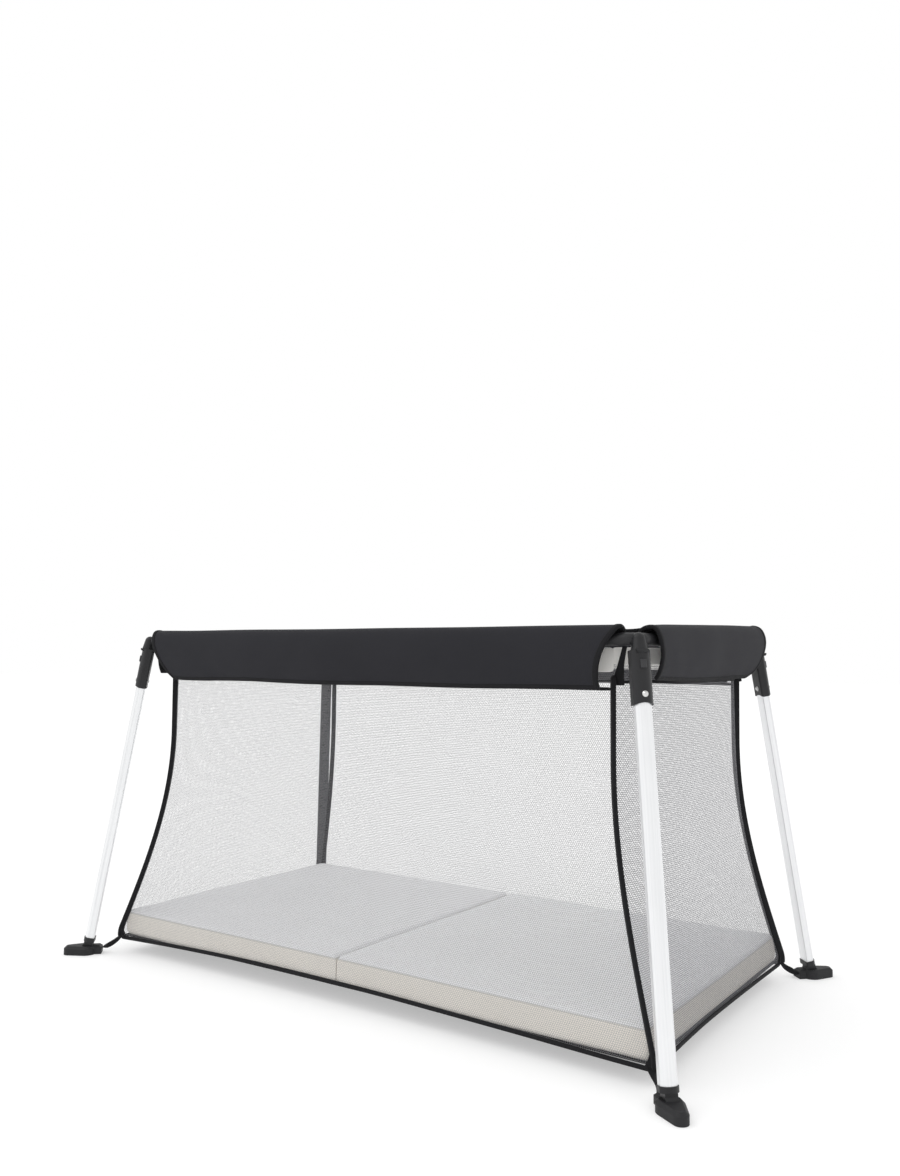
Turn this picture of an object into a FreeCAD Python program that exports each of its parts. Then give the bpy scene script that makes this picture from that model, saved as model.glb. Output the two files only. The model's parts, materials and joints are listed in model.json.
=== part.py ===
import FreeCAD, Part
import math
import os

# Framed mesh playpen (travel cot), millimetres, +Z up.
# Origin: on the floor under the middle of the pen. X is the long way, Y the short way.
# Four splayed legs plug onto the corner joints of a rectangle of rail tubes, and a mesh
# tub with a soft floor pad hangs inside, pulled out to the feet by four webbing straps.

V = FreeCAD.Vector

# ---- driving dimensions: top frame ----
RAIL_SPAN_X = 1114.0          # between the corner centres, long way
RAIL_SPAN_Y = 570.0           # between the corner centres, short way
RAIL_HEIGHT = 643.0           # rail axis above the floor
RAIL_DIAMETER = 20.0
RAIL_WALL = 1.4
FERRULE_LENGTH = 90.0
FERRULE_WALL = 1.5
CORNER_BEND = 24.0            # bend radius of the elbow's centre line
ELBOW_ARM = 72.0              # corner centre to the end of the elbow's full-size arm
ELBOW_SPIGOT = 38.0           # spigot inside the rail tube
RIVET_SHANK = 4.0
RIVET_HEAD = 7.0
RIVET_HEAD_RISE = 1.2
PLUG_CLEARANCE = 0.1          # per side, between a plug and the tube it fills

# ---- driving dimensions: legs ----
LEG_LEAN = 9.47               # degrees from upright, outwards along the plan diagonal
LEG_AZIMUTH = 45.0            # degrees, plan direction of the lean from the X axis
LEG_WIDTH = 26.0              # across the lean
LEG_DEPTH = 19.0              # along the lean
LEG_WALL = 1.6
LEG_SHOULDER = 0.6            # share of the depth where the straight sides end
LEG_GROOVE_DEPTH = 0.5        # sight line along each side of the rounded face
LEG_GROOVE_WIDTH = 1.0
NECK_DIAMETER = 21.0
NECK_DROP = 17.0              # corner centre to the top of the leg socket, along the leg
SPIGOT_LENGTH = 57.0
SOCKET_LENGTH = 83.0
SOCKET_WALL = 2.5
SOCKET_SCALLOP = 3.5          # rise of the arched bottom edge
SOCKET_LIP = 3.0              # outward lip at the top of the rounded side
SOCKET_LIP_HEIGHT = 5.0
LEG_SLIDE_GAP = 0.35          # per side, spigot to socket bore
LEG_SEAT_GAP = 0.06           # per side, leg tube to socket bore
TUBE_STOP_GAP = 4.0           # between the spigot's tip and the leg tube's top
SOCKET_RIVET_UP = 16.0        # rivet above the socket's bottom edge
SOCKET_RIVET_HEAD = 9.5

# ---- driving dimensions: lock button ----
BUTTON_WIDTH = 9.4
BUTTON_HEIGHT = 13.0
BUTTON_PROUD = 2.0
BUTTON_TRAVEL = 3.5
BUTTON_DROP = 22.0            # below the top of the socket
BUTTON_GAP = 0.3
SPRING_THICKNESS = 0.5
SPRING_WIDTH = 7.0
SPRING_TAIL = 20.0            # spring below the button, held to the socket wall

# ---- driving dimensions: feet ----
PIN_HEIGHT = 14.0             # tilt pin above the floor
PIN_DIAMETER = 5.0
PIN_RUNNING_GAP = 0.05        # radial, pin in the pad's cheeks
PIN_FIT_GAP = 0.02            # radial, pin in the plug
KNUCKLE_RADIUS = 10.5
KNUCKLE_WIDTH = 19.0
KNUCKLE_GAP = 0.4
SHANK_SHARE = 0.819           # of the knuckle's radius
SHANK_HALF_DEPTH = KNUCKLE_RADIUS * SHANK_SHARE   # clear of the pocket's mouth at full tilt
PLUG_LENGTH = 30.0            # part of the foot plug inside the leg tube
COLLAR_GROW = 1.4             # collar stands out past the leg tube, per side
COLLAR_LENGTH = 8.5
COLLAR_GAP = 11.0             # collar's lower edge above the tilt pin, along the leg
PAD_THICKNESS = 17.0
PAD_RADIUS = 20.5
PAD_TIP_RADIUS = 12.0
PAD_TIP_REACH = 33.0          # pad centre to the centre of the tip's round
PAD_HEEL_REACH = 30.0
PAD_HEEL_WIDTH = 24.0
PAD_CHAMFER = 5.0
PAD_CHEEK = 5.5               # pin's grip in each cheek

# ---- driving dimensions: fabric tub ----
FLOOR_OUT_X = 30.0            # base corner outside of the rail's axis plane, long way
FLOOR_OUT_Y = 26.0            # base corner outside of the rail's axis plane, short way
FLOOR_HEIGHT = 29.0           # underside of the base sheet
BASE_THICKNESS = 4.0
WALL_DROP = 14.0              # wall's top below the rail's axis
WALL_THICKNESS = 2.0
WALL_MIDDLE_IN = 4.0          # wall inside the rail's axis plane, at the middle of a side
WALL_CORNER_IN_X = 45.0       # corner seam's top inside the rail's axis plane, long way
WALL_CORNER_IN_Y = 22.0       # corner seam's top inside the rail's axis plane, short way
SEAM_START = 16.0             # corner seam stands upright up to here, above the base sheet
SEAM_DROP = 169.0             # corner seam is upright again from here, below the wall's top
WALL_FLATNESS_LONG = 4.0      # power of a long wall's turn-in towards the corners
WALL_FLATNESS_END = 2.5       # the same for an end wall
WALL_ROWS = 8
WALL_COLUMNS = 9
WALL_CORNER_GAP = 6.0         # wall edge to the corner seam
PIPING_RADIUS = 4.5
PIPING_POINTS = 7
HEM_RADIUS = 4.5
STRAP_WIDTH = 20.0
STRAP_THICKNESS = 2.0
STRAP_GAP = 4.5               # strap end to the foot pad

# ---- driving dimensions: rail wraps ----
WRAP_THICKNESS = 2.5
WRAP_CROWN_RADIUS = 15.0
WRAP_CROWN_RISE = 5.0         # crown's centre above the rail's axis
WRAP_BULGE = 20.0             # furthest outside of the rail's axis plane
WRAP_HEM_OUT = 6.5            # hem outside of the rail's axis plane
WRAP_HEM_DROP = 80.0          # hem below the rail's axis
WRAP_INNER_GAP = 3.0          # wrap's inner edge above the wall's top
WRAP_END_X = 36.0             # wrap end to the corner centre at the top, long sides
WRAP_END_Y = 30.0             # wrap end to the corner centre at the top, short sides
WRAP_END_SLANT = 48.0         # further cut back at the hem

# ---- driving dimensions: floor pad ----
MATTRESS_THICKNESS = 52.0
MATTRESS_INSET = 14.0         # inside the base corner, each side
MATTRESS_CORNER = 30.0
MATTRESS_EDGE_ROUND = 12.0
MATTRESS_FOLD_DEPTH = 14.0
MATTRESS_FOLD_WIDTH = 10.0
MATTRESS_GAP = 0.5

# ---- worked out from the above ----
LEAN = math.radians(LEG_LEAN)
LEG_REACH = RAIL_HEIGHT / math.cos(LEAN)                 # corner centre to the floor, along the leg
FOOT_OUT = RAIL_HEIGHT * math.tan(LEAN)                  # foot outside of the corner, along the diagonal
PIN_DROP = LEG_REACH - PIN_HEIGHT / math.cos(LEAN)       # corner centre to the tilt pin, along the leg
COLLAR_BOTTOM = PIN_DROP - COLLAR_GAP
TUBE_BOTTOM = COLLAR_BOTTOM - COLLAR_LENGTH
SOCKET_BOTTOM = NECK_DROP + SOCKET_LENGTH
SPIGOT_BOTTOM = NECK_DROP + SPIGOT_LENGTH
TUBE_TOP = SPIGOT_BOTTOM + TUBE_STOP_GAP
RIVET_DROP = SOCKET_BOTTOM - SOCKET_RIVET_UP
BUTTON_CENTRE = NECK_DROP + BUTTON_DROP
RAIL_RADIUS = RAIL_DIAMETER / 2
RAIL_BORE = RAIL_RADIUS - RAIL_WALL
RAIL_PLUG = RAIL_BORE - PLUG_CLEARANCE
HALF_X = RAIL_SPAN_X / 2
HALF_Y = RAIL_SPAN_Y / 2
APEX = LEG_DEPTH / 2
FLOOR_HALF_X = HALF_X + FLOOR_OUT_X
FLOOR_HALF_Y = HALF_Y + FLOOR_OUT_Y
WALL_TOP = RAIL_HEIGHT - WALL_DROP
WRAP_OUTER_BOTTOM = RAIL_HEIGHT - WRAP_HEM_DROP
WRAP_INNER_BOTTOM = WALL_TOP + WRAP_INNER_GAP
CORNERS = {
    "front_left": (-1, -1),
    "front_right": (1, -1),
    "back_left": (-1, 1),
    "back_right": (1, 1),
}


def leg_section(grow):
    """Closed D outline about the leg's axis, flat side at -x, rounded side at +x."""
    half_width = LEG_WIDTH / 2 + grow
    flat = -APEX - grow
    shoulder = flat + LEG_SHOULDER * (LEG_DEPTH + 2 * grow)
    apex = APEX + grow
    corner = 2.0 + grow / 2
    quarter = corner * (1 - math.sqrt(0.5))
    a = V(flat + corner, -half_width, 0)
    b = V(shoulder, -half_width, 0)
    c = V(shoulder, half_width, 0)
    d = V(flat + corner, half_width, 0)
    e = V(flat, half_width - corner, 0)
    f = V(flat, -half_width + corner, 0)
    edges = [
        Part.LineSegment(a, b).toShape(),
        Part.Arc(b, V(apex, 0, 0), c).toShape(),
        Part.LineSegment(c, d).toShape(),
        Part.Arc(d, V(flat + quarter, half_width - quarter, 0), e).toShape(),
        Part.LineSegment(e, f).toShape(),
        Part.Arc(f, V(flat + quarter, -half_width + quarter, 0), a).toShape(),
    ]
    return Part.Face(Part.Wire(edges))


def rounded_side_at(across):
    """Distance from the leg's axis to its rounded side, at a place off the middle."""
    rise = (1 - LEG_SHOULDER) * LEG_DEPTH
    radius = ((LEG_WIDTH / 2) ** 2 + rise ** 2) / (2 * rise)
    return APEX - radius + math.sqrt(radius ** 2 - across ** 2)


def leg_bar(grow, top, bottom):
    """Solid of the leg's outline between two distances down the leg."""
    bar = leg_section(grow).extrude(V(0, 0, top - bottom))
    bar.translate(V(0, 0, -top))
    return bar


def box_between(low, high):
    """Box from one corner to the other."""
    size = [high[i] - low[i] for i in range(3)]
    return Part.makeBox(size[0], size[1], size[2], V(*low))


def corner_azimuth(sign_x, sign_y):
    """Plan angle, in degrees, of the direction from the pen's middle out through a corner."""
    along = LEG_AZIMUTH if sign_x > 0 else 180 - LEG_AZIMUTH
    return along * sign_y


def place_on_leg(shape, sign_x, sign_y):
    """Put a shape made about an upright leg onto the leaning leg of a corner."""
    placed = shape.copy()
    placed.rotate(V(0, 0, 0), V(0, 1, 0), -LEG_LEAN)
    placed.rotate(V(0, 0, 0), V(0, 0, 1), corner_azimuth(sign_x, sign_y))
    placed.translate(V(sign_x * HALF_X, sign_y * HALF_Y, RAIL_HEIGHT))
    return placed


def place_on_floor(shape, sign_x, sign_y):
    """Put a shape made about the point where the leg's axis meets the floor."""
    placed = shape.copy()
    angle = math.radians(LEG_AZIMUTH)
    placed.rotate(V(0, 0, 0), V(0, 0, 1), corner_azimuth(sign_x, sign_y))
    foot_x = sign_x * (HALF_X + FOOT_OUT * math.cos(angle))
    foot_y = sign_y * (HALF_Y + FOOT_OUT * math.sin(angle))
    placed.translate(V(foot_x, foot_y, 0))
    return placed


def make_elbow(sign_x, sign_y):
    """Rounded corner of the top frame with two arms, each ending in a rail spigot."""
    profile = Part.Face(Part.Wire(Part.makeCircle(RAIL_RADIUS, V(CORNER_BEND, 0, 0), V(0, 1, 0))))
    bend = profile.revolve(V(0, 0, 0), V(0, 0, 1), 90)
    bend.translate(V(-CORNER_BEND, -CORNER_BEND, 0))
    arm_length = ELBOW_ARM - CORNER_BEND
    pieces = [bend]
    for direction in (V(-1, 0, 0), V(0, -1, 0)):
        arm_start = direction * CORNER_BEND
        spigot_start = direction * ELBOW_ARM
        pieces.append(Part.makeCylinder(RAIL_RADIUS, arm_length, arm_start, direction))
        pieces.append(Part.makeCylinder(RAIL_PLUG, ELBOW_SPIGOT, spigot_start, direction))
    elbow = pieces[0].multiFuse(pieces[1:])
    if sign_x < 0:
        elbow = elbow.mirror(V(0, 0, 0), V(1, 0, 0))
    if sign_y < 0:
        elbow = elbow.mirror(V(0, 0, 0), V(0, 1, 0))
    elbow.translate(V(sign_x * HALF_X, sign_y * HALF_Y, RAIL_HEIGHT))
    return elbow


def make_corner_joint(sign_x, sign_y, rivets):
    """Elbow, neck and leg spigot moulded in one."""
    neck = Part.makeCone(NECK_DIAMETER / 2, LEG_WIDTH / 2, NECK_DROP, V(0, 0, 0), V(0, 0, -1))
    spigot = leg_bar(-LEG_SLIDE_GAP, NECK_DROP, SPIGOT_BOTTOM)
    groove_half = BUTTON_WIDTH / 2 + BUTTON_GAP
    groove_floor = APEX - BUTTON_TRAVEL - 3 * SPRING_THICKNESS
    groove_top = BUTTON_CENTRE - BUTTON_HEIGHT / 2 - BUTTON_GAP
    groove = box_between(
        (groove_floor, -groove_half, -SPIGOT_BOTTOM),
        (APEX + LEG_SLIDE_GAP, groove_half, -groove_top),
    )
    stem = neck.fuse(spigot).cut(groove)
    neck_top = Part.makeSphere(NECK_DIAMETER / 2)
    stem = place_on_leg(stem.fuse(neck_top), sign_x, sign_y)
    joint = make_elbow(sign_x, sign_y).fuse(stem)
    return joint.cut(rivets).removeSplitter()


def tube_along(length, start, direction, radius, bore):
    """Straight hollow tube."""
    outer = Part.makeCylinder(radius, length, start, direction)
    return outer.cut(Part.makeCylinder(bore, length, start, direction))


def rivet_places():
    """Centre point of each rivet that holds a rail tube to an elbow's spigot."""
    reach = ELBOW_ARM + ELBOW_SPIGOT / 2
    places = []
    for sign_x, sign_y in CORNERS.values():
        places.append(V(sign_x * (HALF_X - reach), sign_y * HALF_Y, RAIL_HEIGHT))
        places.append(V(sign_x * HALF_X, sign_y * (HALF_Y - reach), RAIL_HEIGHT))
    return places


def make_rail_rivets():
    """Blind rivets, head under the rail, shank ending inside the spigot."""
    rivets = []
    for centre in rivet_places():
        top = centre + V(0, 0, -RAIL_RADIUS)
        shank = Part.makeCylinder(RIVET_SHANK / 2, RAIL_RADIUS, top)
        head = Part.makeCylinder(RIVET_HEAD / 2, RIVET_HEAD_RISE, top, V(0, 0, -1))
        rivets.append(shank.fuse(head))
    return Part.makeCompound(rivets)


def make_long_rail(sign_x, sign_y, rivets):
    """Half of a long rail, from the elbow to the middle."""
    start = V(0, sign_y * HALF_Y, RAIL_HEIGHT)
    rail = tube_along(HALF_X - ELBOW_ARM, start, V(sign_x, 0, 0), RAIL_RADIUS, RAIL_BORE)
    return rail.cut(rivets)


def make_end_rail(sign_x, rivets):
    """Short rail between the two elbows of one end."""
    length = RAIL_SPAN_Y - 2 * ELBOW_ARM
    start = V(sign_x * HALF_X, -length / 2, RAIL_HEIGHT)
    rail = tube_along(length, start, V(0, 1, 0), RAIL_RADIUS, RAIL_BORE)
    return rail.cut(rivets)


def make_rail_ferrules():
    """Inner sleeves that join the halves of the long rails."""
    sleeves = []
    for sign_y in (-1, 1):
        start = V(-FERRULE_LENGTH / 2, sign_y * HALF_Y, RAIL_HEIGHT)
        sleeves.append(tube_along(FERRULE_LENGTH, start, V(1, 0, 0), RAIL_PLUG, RAIL_PLUG - FERRULE_WALL))
    return Part.makeCompound(sleeves)


def make_socket_rivet():
    """Rivet from the socket's rounded side through the leg tube to its flat side."""
    outer_face = APEX + SOCKET_WALL
    length = LEG_DEPTH + 2 * SOCKET_WALL
    shank = Part.makeCylinder(RIVET_SHANK / 2, length, V(-outer_face, 0, -RIVET_DROP), V(1, 0, 0))
    heads = [shank]
    for sign in (-1, 1):
        base = V(sign * outer_face, 0, -RIVET_DROP)
        head = Part.makeCone(SOCKET_RIVET_HEAD / 2, SOCKET_RIVET_HEAD / 4, 2 * RIVET_HEAD_RISE, base, V(sign, 0, 0))
        heads.append(head)
    return heads[0].multiFuse(heads[1:])


def make_leg_socket(rivet):
    """Moulded sleeve that is riveted to the leg and plugs over the corner's spigot."""
    body = leg_bar(SOCKET_WALL, NECK_DROP, SOCKET_BOTTOM)
    outer_face = APEX + SOCKET_WALL
    lip = box_between(
        (APEX, -BUTTON_WIDTH, -NECK_DROP - SOCKET_LIP_HEIGHT),
        (outer_face + SOCKET_LIP, BUTTON_WIDTH, -NECK_DROP),
    )
    lip_edges = [edge for edge in lip.Edges if edge.BoundBox.XMin > outer_face + SOCKET_LIP - 0.01]
    lip_edges = [edge for edge in lip_edges if edge.BoundBox.ZMax < -NECK_DROP - 0.01]
    body = body.fuse(lip.makeChamfer(SOCKET_LIP * 0.9, lip_edges))
    body = body.cut(leg_bar(LEG_SEAT_GAP, NECK_DROP - SOCKET_LIP, SOCKET_BOTTOM + SOCKET_LIP))
    slot_half = BUTTON_WIDTH / 2 + BUTTON_GAP
    slot_half_height = BUTTON_HEIGHT / 2 + BUTTON_GAP
    slot = box_between(
        (0, -slot_half, -BUTTON_CENTRE - slot_half_height),
        (outer_face + SOCKET_LIP, slot_half, -BUTTON_CENTRE + slot_half_height),
    )
    chord = LEG_WIDTH / 2 + SOCKET_WALL
    arch_radius = (chord ** 2 + SOCKET_SCALLOP ** 2) / (2 * SOCKET_SCALLOP)
    arch_centre = -SOCKET_BOTTOM + SOCKET_SCALLOP - arch_radius
    arch = Part.makeCylinder(arch_radius, 4 * LEG_DEPTH, V(-2 * LEG_DEPTH, 0, arch_centre), V(1, 0, 0))
    return body.cut(slot).cut(arch).cut(rivet)


def make_leg_tube(rivet):
    """Hollow D tube with a fine sight line down each side of the rounded face."""
    tube = leg_bar(0, TUBE_TOP, TUBE_BOTTOM).cut(leg_bar(-LEG_WALL, TUBE_TOP - 1, TUBE_BOTTOM + 1))
    shoulder = -APEX + LEG_SHOULDER * LEG_DEPTH
    for sign in (-1, 1):
        y_in = sign * (LEG_WIDTH / 2 - LEG_GROOVE_DEPTH)
        y_out = sign * (LEG_WIDTH / 2 + LEG_GROOVE_DEPTH)
        groove = box_between(
            (shoulder - LEG_GROOVE_WIDTH, min(y_in, y_out), -TUBE_BOTTOM),
            (shoulder, max(y_in, y_out), -SOCKET_BOTTOM),
        )
        tube = tube.cut(groove)
    return tube.cut(rivet)


def make_lock_button():
    """Push button in the socket's slot, its inner face just off the leaf spring."""
    inner = rounded_side_at(SPRING_WIDTH / 2) + LEG_SEAT_GAP
    outer = APEX + SOCKET_WALL + BUTTON_PROUD
    half_width = BUTTON_WIDTH / 2
    half_height = BUTTON_HEIGHT / 2
    button = box_between(
        (inner, -half_width, -BUTTON_CENTRE - half_height),
        (outer, half_width, -BUTTON_CENTRE + half_height),
    )
    outer_edges = [edge for edge in button.Edges if edge.BoundBox.XMin > outer - 0.01]
    return button.makeFillet(BUTTON_PROUD * 0.6, outer_edges)


def make_button_spring():
    """Leaf spring behind the button, its tail against the socket's wall in the spigot's groove."""
    outer = rounded_side_at(SPRING_WIDTH / 2)
    half = SPRING_WIDTH / 2
    top = -BUTTON_CENTRE + BUTTON_HEIGHT / 2
    bottom = -BUTTON_CENTRE - BUTTON_HEIGHT / 2 - SPRING_TAIL
    return box_between((outer - SPRING_THICKNESS, -half, bottom), (outer, half, top))


def make_foot_plug(pin_hole):
    """Plug in the leg's lower end, with its collar and the knuckle that turns in the foot pad."""
    inside = leg_bar(-LEG_WALL - PLUG_CLEARANCE, TUBE_BOTTOM - PLUG_LENGTH, TUBE_BOTTOM)
    collar = leg_bar(COLLAR_GROW, TUBE_BOTTOM, COLLAR_BOTTOM)
    half = KNUCKLE_WIDTH / 2
    shank = box_between(
        (-SHANK_HALF_DEPTH, -half, -PIN_DROP),
        (SHANK_HALF_DEPTH, half, -COLLAR_BOTTOM),
    )
    knuckle = Part.makeCylinder(KNUCKLE_RADIUS, KNUCKLE_WIDTH, V(0, -half, -PIN_DROP), V(0, 1, 0))
    return inside.multiFuse([collar, shank, knuckle]).cut(pin_hole)


def make_pin(radius, half_length):
    """Tilt pin across the foot, about the leg's upright frame."""
    return Part.makeCylinder(radius, 2 * half_length, V(0, -half_length, -PIN_DROP), V(0, 1, 0))


def make_foot_pad():
    """Flat shoe with a rounded toe, a heel for the strap and a pocket for the knuckle."""
    slope = math.asin((PAD_RADIUS - PAD_TIP_RADIUS) / PAD_TIP_REACH)
    side_x = PAD_RADIUS * math.sin(slope)
    side_y = PAD_RADIUS * math.cos(slope)
    tip_x = PAD_TIP_REACH + PAD_TIP_RADIUS * math.sin(slope)
    tip_y = PAD_TIP_RADIUS * math.cos(slope)
    heel_y = PAD_HEEL_WIDTH / 2
    heel_x = -math.sqrt(PAD_RADIUS ** 2 - heel_y ** 2)
    back_x = -PAD_RADIUS * math.sin(math.pi / 8)
    back_y = PAD_RADIUS * math.cos(math.pi / 8)
    edges = [
        Part.LineSegment(V(side_x, side_y, 0), V(tip_x, tip_y, 0)).toShape(),
        Part.Arc(
            V(tip_x, tip_y, 0), V(PAD_TIP_REACH + PAD_TIP_RADIUS, 0, 0), V(tip_x, -tip_y, 0)
        ).toShape(),
        Part.LineSegment(V(tip_x, -tip_y, 0), V(side_x, -side_y, 0)).toShape(),
        Part.Arc(V(side_x, -side_y, 0), V(back_x, -back_y, 0), V(heel_x, -heel_y, 0)).toShape(),
        Part.LineSegment(V(heel_x, -heel_y, 0), V(-PAD_HEEL_REACH, -heel_y, 0)).toShape(),
        Part.LineSegment(V(-PAD_HEEL_REACH, -heel_y, 0), V(-PAD_HEEL_REACH, heel_y, 0)).toShape(),
        Part.LineSegment(V(-PAD_HEEL_REACH, heel_y, 0), V(heel_x, heel_y, 0)).toShape(),
        Part.Arc(V(heel_x, heel_y, 0), V(back_x, back_y, 0), V(side_x, side_y, 0)).toShape(),
    ]
    pad = Part.Face(Part.Wire(edges)).extrude(V(0, 0, PAD_THICKNESS))
    top_edges = [edge for edge in pad.Edges if edge.BoundBox.ZMin > PAD_THICKNESS - 0.01]
    pad = pad.makeChamfer(PAD_CHAMFER, top_edges)
    pin_x = -PIN_HEIGHT * math.tan(LEAN)
    pocket_radius = KNUCKLE_RADIUS + KNUCKLE_GAP
    pocket_half = KNUCKLE_WIDTH / 2 + KNUCKLE_GAP
    pin_point = V(pin_x, -pocket_half, PIN_HEIGHT)
    pocket = Part.makeCylinder(pocket_radius, 2 * pocket_half, pin_point, V(0, 1, 0))
    mouth = box_between(
        (pin_x - pocket_radius, -pocket_half, PIN_HEIGHT),
        (pin_x + pocket_radius, pocket_half, PAD_THICKNESS + 1),
    )
    hole_half = pocket_half + PAD_CHEEK + KNUCKLE_GAP
    hole_point = V(pin_x, -hole_half, PIN_HEIGHT)
    hole = Part.makeCylinder(PIN_DIAMETER / 2 + PIN_RUNNING_GAP, 2 * hole_half, hole_point, V(0, 1, 0))
    return pad.cut(pocket).cut(mouth).cut(hole)


def corner_seam(height):
    """Half sizes of the tub at its corner seam, at a height between the floor and the wall's top."""
    start = FLOOR_HEIGHT + SEAM_START
    rise = (height - start) / (WALL_TOP - SEAM_DROP - start)
    lean = math.sin(math.pi / 2 * min(max(rise, 0), 1))
    half_x = FLOOR_HALF_X - (FLOOR_OUT_X + WALL_CORNER_IN_X) * lean
    half_y = FLOOR_HALF_Y - (FLOOR_OUT_Y + WALL_CORNER_IN_Y) * lean
    return half_x, half_y


def wall_point(along_x, across, height):
    """Point of a wall at a share (-1 to 1) of its width, measured from its middle."""
    seam_x, seam_y = corner_seam(height)
    share = (height - FLOOR_HEIGHT) / (WALL_TOP - FLOOR_HEIGHT)
    if along_x:
        middle = FLOOR_HALF_Y + (HALF_Y - WALL_MIDDLE_IN - FLOOR_HALF_Y) * share
        turn = abs(across) ** WALL_FLATNESS_LONG
        return (seam_x - WALL_CORNER_GAP) * across, middle + (seam_y - middle) * turn
    middle = FLOOR_HALF_X + (HALF_X - WALL_MIDDLE_IN - FLOOR_HALF_X) * share
    turn = abs(across) ** WALL_FLATNESS_END
    return (seam_y - WALL_CORNER_GAP) * across, middle + (seam_x - middle) * turn


def make_mesh_wall(along_x, sign):
    """Thin curved panel between two corner seams, from the base sheet up to the rail."""
    skins = []
    bottom = FLOOR_HEIGHT + BASE_THICKNESS + MATTRESS_GAP
    for inward in (0, WALL_THICKNESS):
        rows = []
        for row in range(WALL_ROWS + 1):
            height = bottom + (WALL_TOP - bottom) * row / WALL_ROWS
            points = []
            for column in range(WALL_COLUMNS + 1):
                across = 2 * column / WALL_COLUMNS - 1
                along, out = wall_point(along_x, across, height)
                flat = (out - inward) * sign
                points.append(V(along, flat, height) if along_x else V(flat, along, height))
            rows.append(points)
        surface = Part.BSplineSurface()
        surface.interpolate(rows)
        skins.append(surface.toShape())
    faces = list(skins)
    for outer_edge, inner_edge in zip(skins[0].Edges, skins[1].Edges):
        faces.append(Part.makeRuledSurface(outer_edge, inner_edge))
    shell = Part.makeShell(faces)
    shell.sewShape()
    solid = Part.makeSolid(Part.Shell(shell.Faces))
    solid.fix(0.01, 0.01, 0.01)
    return solid


def make_corner_piping():
    """Round binding up each corner seam."""
    bottom = FLOOR_HEIGHT + 2 * HEM_RADIUS
    pipes = []
    for sign_x, sign_y in CORNERS.values():
        points = []
        for row in range(PIPING_POINTS):
            height = bottom + (WALL_TOP - bottom) * row / (PIPING_POINTS - 1)
            half_x, half_y = corner_seam(height)
            points.append(V(sign_x * half_x, sign_y * half_y, height))
        curve = Part.BSplineCurve()
        curve.interpolate(points)
        path = Part.Wire([curve.toShape()])
        profile = Part.Wire([Part.makeCircle(PIPING_RADIUS, points[0], curve.tangent(curve.FirstParameter)[0])])
        pipes.append(path.makePipeShell([profile], True, False))
    return Part.makeCompound(pipes)


def floor_slab(half_x, half_y, corner, bottom, thickness):
    """Flat slab with rounded corners."""
    slab = box_between((-half_x, -half_y, bottom), (half_x, half_y, bottom + thickness))
    uprights = [edge for edge in slab.Edges if edge.BoundBox.ZLength > thickness / 2]
    return slab.makeFillet(corner, uprights)


def make_base_sheet():
    """Fabric bottom of the tub."""
    return floor_slab(FLOOR_HALF_X, FLOOR_HALF_Y, HEM_RADIUS, FLOOR_HEIGHT, BASE_THICKNESS)


def make_hem_piping():
    """Round binding along the tub's bottom edge, outside of the base sheet and the walls."""
    pieces = []
    out = HEM_RADIUS + MATTRESS_GAP
    height = FLOOR_HEIGHT + HEM_RADIUS
    run_x = 2 * (FLOOR_HALF_X - 3 * HEM_RADIUS)
    run_y = 2 * (FLOOR_HALF_Y - 3 * HEM_RADIUS)
    for sign in (-1, 1):
        start = V(-run_x / 2, sign * (FLOOR_HALF_Y + out), height)
        pieces.append(Part.makeCylinder(HEM_RADIUS, run_x, start, V(1, 0, 0)))
        start = V(sign * (FLOOR_HALF_X + out), -run_y / 2, height)
        pieces.append(Part.makeCylinder(HEM_RADIUS, run_y, start, V(0, 1, 0)))
    return Part.makeCompound(pieces)


def make_foot_strap(sign_x, sign_y):
    """Webbing from the base corner down to the heel of the foot pad."""
    angle = math.radians(LEG_AZIMUTH)
    foot = V(
        HALF_X + (FOOT_OUT - PAD_HEEL_REACH - STRAP_GAP) * math.cos(angle),
        HALF_Y + (FOOT_OUT - PAD_HEEL_REACH - STRAP_GAP) * math.sin(angle),
        PAD_THICKNESS * 0.6,
    )
    corner = V(FLOOR_HALF_X, FLOOR_HALF_Y, FLOOR_HEIGHT + BASE_THICKNESS / 2)
    run = foot - corner
    strap = box_between((0, -STRAP_WIDTH / 2, -STRAP_THICKNESS / 2), (run.Length, STRAP_WIDTH / 2, STRAP_THICKNESS / 2))
    strap.Placement = FreeCAD.Placement(corner, FreeCAD.Rotation(run, V(-run.y, run.x, 0), V(0, 0, 1), "XYZ"))
    slab = box_between(
        (0, 0, 0),
        (FLOOR_HALF_X, FLOOR_HALF_Y, 2 * FLOOR_HEIGHT),
    )
    strap = strap.cut(slab)
    if sign_x < 0:
        strap = strap.mirror(V(0, 0, 0), V(1, 0, 0))
    if sign_y < 0:
        strap = strap.mirror(V(0, 0, 0), V(0, 1, 0))
    return strap


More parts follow.
